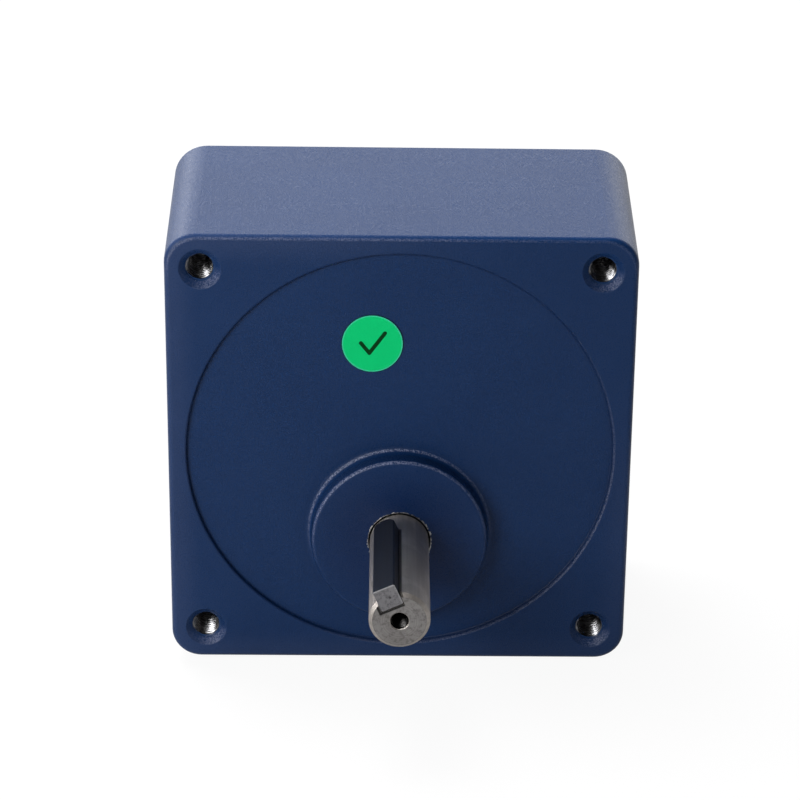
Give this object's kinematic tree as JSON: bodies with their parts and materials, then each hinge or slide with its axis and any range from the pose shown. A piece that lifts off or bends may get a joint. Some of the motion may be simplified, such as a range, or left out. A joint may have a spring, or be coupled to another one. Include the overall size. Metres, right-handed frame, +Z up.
{
  "type": "parallel-shaft gearhead",
  "caption": "Square blue die-cast gearhead of a small gear motor: off-centre keyed output shaft in a round boss, tapped corner holes, spur gear train behind, register for the motor.",
  "frame": {"origin": "centre of the four tapped corner holes on the front mounting face, which is also the motor axis", "axes": "+Z up, +X to the right seen from the front, the output shaft points along -Y"},
  "size_m": [0.08, 0.0736, 0.08],
  "materials": {
    "blue_paint": "satin blue powder coat on die-cast aluminium, fine grain",
    "plate_aluminium": "bare die-cast aluminium, faced on the motor side",
    "zinc_steel": "bright zinc plate",
    "ground_steel": "ground",
    "bearing_steel": "polished and ground",
    "cage_steel": "pressed sheet",
    "seal_rubber": "moulded, matt",
    "shaft_steel": "turned and ground",
    "key_steel": "dark drawn key steel with a bright cut end",
    "gear_steel": "hobbed, oiled",
    "spring_steel": "dark phosphated",
    "bush_bronze": "sintered, oil filled",
    "green_sticker": "printed green, slightly glossy"
  },
  "bodies": {
    "gear_case": {"first_front_bush": "bush_bronze", "first_front_shim": "spring_steel", "first_rear_bush": "bush_bronze", "first_rear_shim": "spring_steel", "front_bearing_outer_ring": "bearing_steel", "front_bearing_seals": "seal_rubber", "gear_plate": "plate_aluminium", "housing": "blue_paint", "inspection_sticker": "green_sticker", "plate_dowels": "ground_steel", "plate_screws": "zinc_steel", "rear_bearing_outer_ring": "bearing_steel", "rear_bearing_shields": "cage_steel", "second_front_bush": "bush_bronze", "second_front_shim": "spring_steel", "second_rear_bush": "bush_bronze", "second_rear_shim": "spring_steel"},
    "output_drive": {"output_shaft": "shaft_steel", "output_key": "key_steel", "output_gear": "gear_steel", "output_gear_key": "key_steel", "output_circlip": "spring_steel", "front_bearing_inner_ring": "bearing_steel", "rear_bearing_inner_ring": "bearing_steel"},
    "second_drive": {"second_pinion_shaft": "gear_steel", "second_gear": "gear_steel"},
    "first_drive": {"first_pinion_shaft": "gear_steel", "first_gear": "gear_steel"},
    "front_ball_set": {"front_bearing_balls": "bearing_steel", "front_bearing_cage": "cage_steel"},
    "rear_ball_set": {"rear_bearing_balls": "bearing_steel", "rear_bearing_cage": "cage_steel"}
  },
  "joints": [
    {"name": "output_spin", "type": "hinge", "parent": "gear_case", "child": "output_drive", "pos_m": [0, 0, -0.015], "axis": [0, -1, 0], "continuous": true},
    {"name": "second_spin", "type": "hinge", "parent": "gear_case", "child": "second_drive", "pos_m": [0.01543, 0, 0.00339], "axis": [0, -1, 0], "continuous": true},
    {"name": "first_spin", "type": "hinge", "parent": "gear_case", "child": "first_drive", "pos_m": [-0.00186, 0, 0.01699], "axis": [0, -1, 0], "continuous": true},
    {"name": "front_balls_spin", "type": "hinge", "parent": "gear_case", "child": "front_ball_set", "pos_m": [0, 0, -0.015], "axis": [0, -1, 0], "continuous": true},
    {"name": "rear_balls_spin", "type": "hinge", "parent": "gear_case", "child": "rear_ball_set", "pos_m": [0, 0, -0.015], "axis": [0, -1, 0], "continuous": true}
  ],
  "couplings": [
    {"joint": "second_spin", "follows": "output_spin", "ratio": -3},
    {"joint": "first_spin", "follows": "output_spin", "ratio": 8},
    {"joint": "front_balls_spin", "follows": "output_spin", "ratio": 0.36778},
    {"joint": "rear_balls_spin", "follows": "output_spin", "ratio": 0.37474}
  ]
}
